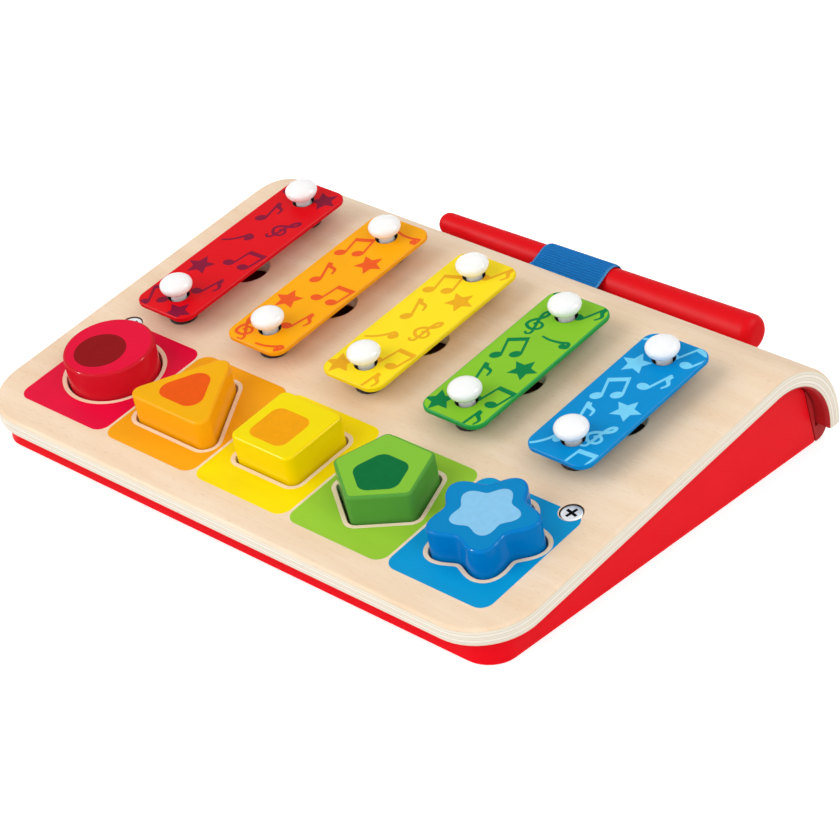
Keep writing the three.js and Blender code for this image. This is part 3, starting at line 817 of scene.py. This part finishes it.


# Material 3, the holes' walls, is painted shade.
hole_shade_finish = painted_hole_shade()
for number, name in enumerate(colour_names):
    half = half_bar[number]
    holes = [circle((0, side * (half - peg_margin)), bar_hole_radius, 40) for side in (-1, 1)]
    shapes = []
    for spot, (x, share, degrees) in enumerate(motif_spots):
        motif = motifs[(spot + motif_step * number) % len(motifs)]
        shapes += printed(motif, x, share * half, degrees)
    bar_mesh = plate(
        f"{name}_tone_plate", rounded_box(-bar_width / 2, bar_width / 2, -half, half, bar_corner), holes,
        bar_top, bar_bottom, bar_edge_round, bar_hole_round, [(2, shapes)], side_number=1, hole_number=3)
    set_on_board(bar_mesh, bar_x[number], bar_y[number])
    add_piece(
        bar_mesh, f"{name}_tone_bar",
        [powder_coat(f"{name}_bar_coat", bar_colours[number]),
         powder_coat(f"{name}_bar_edge_coat", bar_shaded_edge_colours[number]),
         pad_ink(f"{name}_note_ink", bar_ink_colours[number]),
         hole_shade_finish],
        f"{name}_bar")


# Pads: rings punched from dark closed-cell foam and slipped over the pegs. They carry the bars and
# let them ring, so they stand square, with only a slight bulge where the bar's weight lies on them.
pad_radius = 6.4
pad_bulge = 0.25
neck_radius = 3.4
cell_size = 0.7
foam_dark = "#1D1315"
foam_light = "#33262A"


def closed_cell_foam():
    """Cross-linked foam, cut with a punch: nearly black and matt, with cells of about half a
    millimetre, drawn a little coarser so that they show."""
    made, place = new_material("closed_cell_foam")
    cells = add_node(made, "ShaderNodeTexVoronoi", {
        "Vector": place, "Scale": 1 / (cell_size * mm)}).outputs["Distance"]
    base = add_node(made, "ShaderNodeValToRGB", {"Fac": cells}, [
        (0.1, foam_dark), (0.7, foam_light)]).outputs[0]
    return surfaced(made, base, (cells, 0.8, 0.95), (cells, 0.12), 0.3)


def turned(name, profile, segments, closed=False):
    """A body turned about z. The profile is pairs of radius and height, from the foot to the top."""
    made = bmesh.new()
    rings = []
    for radius, height in profile:
        if radius < tiny:
            rings.append([made.verts.new((0, 0, height))] * segments)
        else:
            around = circle((0, 0), radius, segments)
            rings.append([made.verts.new((spot.x, spot.y, height)) for spot in around])
    if closed:
        rings.append(rings[0])
    for lower, upper in zip(rings, rings[1:]):
        for i in range(segments):
            j = (i + 1) % segments
            corners = list(dict.fromkeys([lower[i], lower[j], upper[j], upper[i]]))
            if len(corners) > 2:
                made.faces.new(corners)
    return mesh_from(made, name)


foam = closed_cell_foam()
pad_bore = neck_radius + seat_gap
pad_profile = [(pad_bore, 0)] + [
    (pad_radius + pad_bulge * (math.sin(math.pi * i / 8) - 1), pad_height * i / 8) for i in range(9)
] + [(pad_bore, pad_height)]
for post, x, y in peg_posts:
    pad_mesh = turned(f"{post}_foam_ring", pad_profile, 40, closed=True)
    set_on_board(pad_mesh, x, y, seat_gap)
    pad = add_piece(pad_mesh, "base", [foam], f"{post}_pad")


# Pegs: white ABS, injection moulded in one piece. A stem pushed into the board, a neck that passes
# through pad and bar, and a plump mushroom head, round below and domed on top, that keeps the bar on.
cap_radius = 7
cap_rise = 5.7
cap_dome = 3.4
cap_belly = 4.5
stem_radius = 2.4
stem_reach = 3
stem_bevel = 0.4
light_depth = 5
peg_white = "#FAFAFA"
peg_shade = "#F3F5F6"


def moulded_abs():
    """White ABS from a polished mould: bright and glossy, a trace cooler where it flowed last. Light
    goes a few millimetres into it."""
    made, place = new_material("white_abs")
    flow = grain_noise(made, place, (9, 9, 9))
    skin = grain_noise(made, place, (0.6, 0.6, 0.6), 1)
    base = add_node(made, "ShaderNodeValToRGB", {"Fac": flow}, [
        (0.3, peg_white), (0.8, peg_shade)]).outputs[0]
    return surfaced(made, base, (flow, 0.18, 0.26), (skin, 0.004), 0.25, {
        "IOR": 1.53, "Subsurface Weight": 1, "Subsurface Radius": (1, 1, 1),
        "Subsurface Scale": light_depth * mm})


abs_white = moulded_abs()
rim_height = bar_top + cap_rise
stem_end = -board_thickness - stem_reach
peg_profile = (
    [(0, stem_end), (stem_radius - stem_bevel, stem_end), (stem_radius, stem_end + stem_bevel),
     (stem_radius, seat_gap), (neck_radius, seat_gap)]
    + curve_points((0, rim_height), (cap_radius, cap_belly), -math.acos(neck_radius / cap_radius), 0, 10)
    + curve_points((0, rim_height), (cap_radius, cap_dome), 0, quarter, 14)[1:-1]
    + [(0, rim_height + cap_dome)])
for post, x, y in peg_posts:
    peg_mesh = turned(f"{post}_mushroom_peg", peg_profile, 48)
    set_on_board(peg_mesh, x, y)
    add_piece(peg_mesh, "base", [abs_white], f"{post}_peg", weighted=False)


# Screws: zinc-plated steel wood screws with a low domed head and a cross recess, driven through the
# board into the blocks under it until the head sits just under the surface.
screw_head_radius = 4.5
screw_head_height = 2.7
screw_sink = 0.4
screw_shank_radius = 1.75
screw_length = 15
screw_point = 3.5
screw_head_round = 0.5
head_overhang = 0.8
neck_below = 0.2
neck_above = 0.1
arm = 2.7
half_arm = 0.6
cross_angle = math.radians(-13)
recess_depth = 1.5
recess_round = 0.08
zinc_bright = "#F0F1F3"
zinc_dull = "#D8DADD"
# The cross recess is painted nearly black: painted shade in the recess.
recess_shade_black = "#1C2226"


def bright_zinc():
    """Bright zinc plate on steel: pale and slightly blue, blurred by the barrel that it was plated in."""
    made, place = new_material("bright_zinc")
    blotches = grain_noise(made, place, (1.8, 1.8, 1.8), 3)
    base = add_node(made, "ShaderNodeValToRGB", {"Fac": blotches}, [
        (0.3, zinc_bright), (0.75, zinc_dull)]).outputs[0]
    return surfaced(made, base, (blotches, 0.28, 0.44), (blotches, 0.01), numbers={"Metallic": 1})


def painted_shade_recess():
    """The cross recess, painted nearly black and mottled darker: painted shade in the recess."""
    made, place = new_material("painted_shade_recess")
    recess_mottle = grain_noise(made, place, (0.5, 0.5, 0.5))
    base = stained(made, recess_shade_black, black, recess_mottle)
    return surfaced(made, base, (recess_mottle, 0.6, 0.8), specular=0.2)


zinc = bright_zinc()
recess_shade_coat = painted_shade_recess()
head_bottom = -screw_sink - screw_head_height
recess_floor = -screw_sink - recess_depth
core_radius = screw_head_radius - head_overhang
cross_turn = Matrix.Rotation(cross_angle, 2)
cross = [cross_turn @ Vector(spot) for spot in (
    (-half_arm, -arm), (half_arm, -arm), (half_arm, -half_arm), (arm, -half_arm),
    (arm, half_arm), (half_arm, half_arm), (half_arm, arm), (-half_arm, arm),
    (-half_arm, half_arm), (-arm, half_arm), (-arm, -half_arm), (-half_arm, -half_arm))]
for side, x in screw_posts.items():
    head = plate(f"{side}_wood_screw", circle((0, 0), screw_head_radius), [cross],
                 -screw_sink, head_bottom, screw_head_round, recess_round, hole_number=1)
    shank = turned(f"{side}_shank", [
        (0, head_bottom - screw_length), (screw_shank_radius, head_bottom - screw_length + screw_point),
        (screw_shank_radius, head_bottom - neck_below), (core_radius, head_bottom + neck_above),
        (core_radius, recess_floor), (0, recess_floor)], 32)
    # The shank's top is the recess's floor and takes its painted shade.
    for face in shank.polygons:
        face.material_index = face.center.z > recess_floor - hair
    both = bmesh.new()
    both.from_mesh(head)
    both.from_mesh(shank)
    both.to_mesh(head)
    both.free()
    bpy.data.meshes.remove(shank)
    set_on_board(head, x, screw_row)
    add_piece(head, "base", [zinc, recess_shade_coat], f"{side}_screw")


# Mallet: a beech stick turned to a taper, both ends rounded, sprayed in the same red as the base.
# Its thin end goes into the loop first, so the stick stops where it fills the loop.
mallet_length = 173
tip_radius = 5
butt_radius = 8.2
mallet_shift = 10.9
mallet_end_round = 4.4
mallet_angle = math.radians(18.5)
mallet_stand_off = 1.7
mallet_red = "#E30C18"
mallet_gloss = (0.46, 0.56)

mallet_reach = bend_radius + butt_radius + mallet_stand_off
mallet_start = board_width / 2 - mallet_length / 2 + mallet_shift
round_end = (mallet_end_round, mallet_end_round)
mallet_profile = (
    [(0, 0)]
    + curve_points((tip_radius - mallet_end_round, mallet_end_round), round_end, -quarter, 0, 8)[1:]
    + curve_points((butt_radius - mallet_end_round, mallet_length - mallet_end_round), round_end,
                    0, quarter, 8)[:-1]
    + [(butt_radius - mallet_end_round, mallet_length), (0, mallet_length)])
mallet_mesh = turned("turned_mallet", mallet_profile, 72)
along_board = Matrix.Rotation(quarter, 4, "Y")
mallet_spot = Matrix.Translation((
    mallet_start,
    flat_length + mallet_reach * math.cos(mallet_angle),
    mallet_reach * math.sin(mallet_angle) - bend_radius))
mallet_mesh.transform(board_place @ mallet_spot @ along_board)
add_piece(mallet_mesh, "mallet_stick",
          [sprayed_lacquer("mallet_red_lacquer", mallet_red, mallet_gloss)], "mallet")


# Elastic loop: a band of ribbed woven elastic round the stick, its ribs running along the stick.
# Its back is tacked flat to the bend. It hugs the stick's taper, and its two selvedges are thinner
# and paler than the middle.
loop_width = 37
loop_shift = 3
webbing = 1
loop_seat_half = 8.5
flat_reach = 0.5
rib_pitch = 1.25
rib_height = 0.4
rib_samples = 6
selvedge = 1.3
selvedge_paleness = 0.7
pinch_reach = 0.8
edge_pinch = 0.35
edge_lines = (0, 0.35, pinch_reach, selvedge, 1.8)
yarn_spacing = 0.9
wave_scale = 0.314
elastic_blue = "#0074BE"
# The darker blue is painted shade in the grooves, and it also darkens the fuzz at random.
elastic_shade_and_fuzz_blue = "#0062A8"
elastic_edge = "#5FA9DC"


def ribbed_elastic():
    """Woven elastic of covered rubber and polyester yarn: matt, the grooves painted darker than the ribs as
    painted shade, with the cross yarns, about half a millimetre apart, drawn a little coarser so that they
    show."""
    made, place = new_material("ribbed_elastic")
    height = add_node(made, "ShaderNodeAttribute", attribute_name="rib").outputs["Fac"]
    edge = add_node(made, "ShaderNodeAttribute", attribute_name="selvedge").outputs["Fac"]
    yarn = add_node(made, "ShaderNodeTexWave", {
        "Vector": place, "Scale": wave_scale / (yarn_spacing * mm), "Distortion": 1.5, "Detail": 1},
        wave_type="BANDS", bands_direction="X").outputs["Fac"]
    fuzz = grain_noise(made, place, (0.8, 0.3, 0.3))
    # The grooves are painted darker than the ribs: painted shade.
    base = add_node(made, "ShaderNodeValToRGB", {"Fac": height}, [
        (0, elastic_shade_and_fuzz_blue), (0.8, elastic_blue)]).outputs[0]
    base = stained(made, base, elastic_shade_and_fuzz_blue, fuzz, 0.4, 0.8, 0.3)
    base = stained(made, base, elastic_edge, edge)
    return surfaced(made, base, (fuzz, 0.75, 0.95), (yarn, 0.1), 0.08, {"Sheen Weight": 0.05})


def loop_path(seat_radius, seat_half, bore):
    """Half of the loop's section: along the seat, straight to the stick and half way round it."""
    seat_angle = math.asin(seat_half / seat_radius)
    seat_end = Vector((seat_half, seat_radius * math.cos(seat_angle)))
    away = (seat_end - Vector((0, mallet_reach))).length
    touch = math.atan2(seat_end.y - mallet_reach, seat_end.x) + math.acos(bore / away)
    return arc((0, 0), seat_radius, quarter, quarter - seat_angle, 6) + arc(
        (0, mallet_reach), bore, touch, quarter, 24)


def spans(points):
    """The lengths from each point of a closed line to the next."""
    return [(b - a).length for a, b in zip(points, points[1:] + points[:1])]


def evenly(points, count):
    """The closed line through the points, stepped off in equal lengths."""
    lengths = spans(points)
    total = sum(lengths)
    spots = []
    i = 0
    passed = 0
    for step in range(count):
        aim = total * step / count
        while passed + lengths[i] < aim:
            passed += lengths[i]
            i += 1
        spots.append(points[i].lerp(points[(i + 1) % len(points)], (aim - passed) / lengths[i]))
    return spots


loop_left = board_width / 2 + loop_shift - loop_width / 2
taper = (butt_radius - tip_radius) / mallet_length
loop_bore = tip_radius + taper * (loop_left + loop_width - mallet_start) + seat_gap
whole_paths = []
for bore in (loop_bore - taper * loop_width, loop_bore):
    half_path = loop_path(bend_radius + seat_gap + webbing, loop_seat_half - 2 * webbing, bore)
    whole_paths.append(half_path + [Vector((-spot.x, spot.y)) for spot in half_path[1:-1]][::-1])
ribs = round(sum(spans(whole_paths[1])) / rib_pitch)
narrow_path, wide_path = [evenly(path, ribs * rib_samples) for path in whole_paths]
even_width = loop_width - 2 * edge_lines[-1]
across = sorted({*edge_lines, *[loop_width - line for line in edge_lines],
                 *[edge_lines[-1] + even_width * i / 10 for i in range(1, 10)]})

loop = bmesh.new()
rib_shade_layer = loop.verts.layers.float.new("rib")
selvedge_layer = loop.verts.layers.float.new("selvedge")
columns = len(wide_path)
rows = []
for x in across:
    from_edge = min(x, loop_width - x)
    body_share = min(1, from_edge / selvedge)
    pinch = edge_pinch * webbing * (1 - min(1, from_edge / pinch_reach)) ** 2
    inner_path = [a.lerp(b, x / loop_width) for a, b in zip(narrow_path, wide_path)]
    rows.append(([], []))
    for column, spot in enumerate(inner_path):
        run = (inner_path[(column + 1) % columns] - inner_path[column - 1]).normalized()
        wave = 0.5 + 0.5 * math.cos(2 * math.pi * column / rib_samples)
        facing_board = spot.y < bend_radius + 2 * seat_gap + webbing + flat_reach
        lift = webbing if facing_board else webbing - rib_height * (1 - wave * body_share) - pinch
        for side, amount, shown in zip(rows[-1], (lift, pinch), (1, 0)):
            place = spot + Vector((run.y, -run.x)) * amount
            vert = loop.verts.new((place.x, place.y, x))
            # The rib value sets how little of the grooves' painted shade a point takes.
            vert[rib_shade_layer] = wave * body_share * shown
            vert[selvedge_layer] = selvedge_paleness * (1 - body_share) * shown
            side.append(vert)
(left_outer, left_inner), (right_outer, right_inner) = rows[0], rows[-1]
for i in range(columns):
    j = (i + 1) % columns
    for (outer, inner), (next_outer, next_inner) in zip(rows, rows[1:]):
        loop.faces.new([outer[i], outer[j], next_outer[j], next_outer[i]])
        loop.faces.new([inner[i], next_inner[i], next_inner[j], inner[j]])
    loop.faces.new([left_outer[i], left_inner[i], left_inner[j], left_outer[j]])
    loop.faces.new([right_outer[i], right_outer[j], right_inner[j], right_inner[i]])
bmesh.ops.recalc_face_normals(loop, faces=loop.faces)
loop_mesh = mesh_from(loop, "elastic_loop")
bend_basis = Matrix((
    (0, 0, 1, loop_left),
    (math.sin(mallet_angle), math.cos(mallet_angle), 0, flat_length),
    (-math.cos(mallet_angle), math.sin(mallet_angle), 0, -bend_radius),
    (0, 0, 0, 1)))
loop_mesh.transform(board_place @ bend_basis)
add_piece(loop_mesh, "base", [ribbed_elastic()], "mallet_loop", sharp=75, weighted=False)


# Tacks: two short zinc-plated steel tacks, hammered through the loop's back into the board. They
# hide inside the loop.
for side in ("left", "right"):
    refinish(f"{side}_loop_tack", zinc)
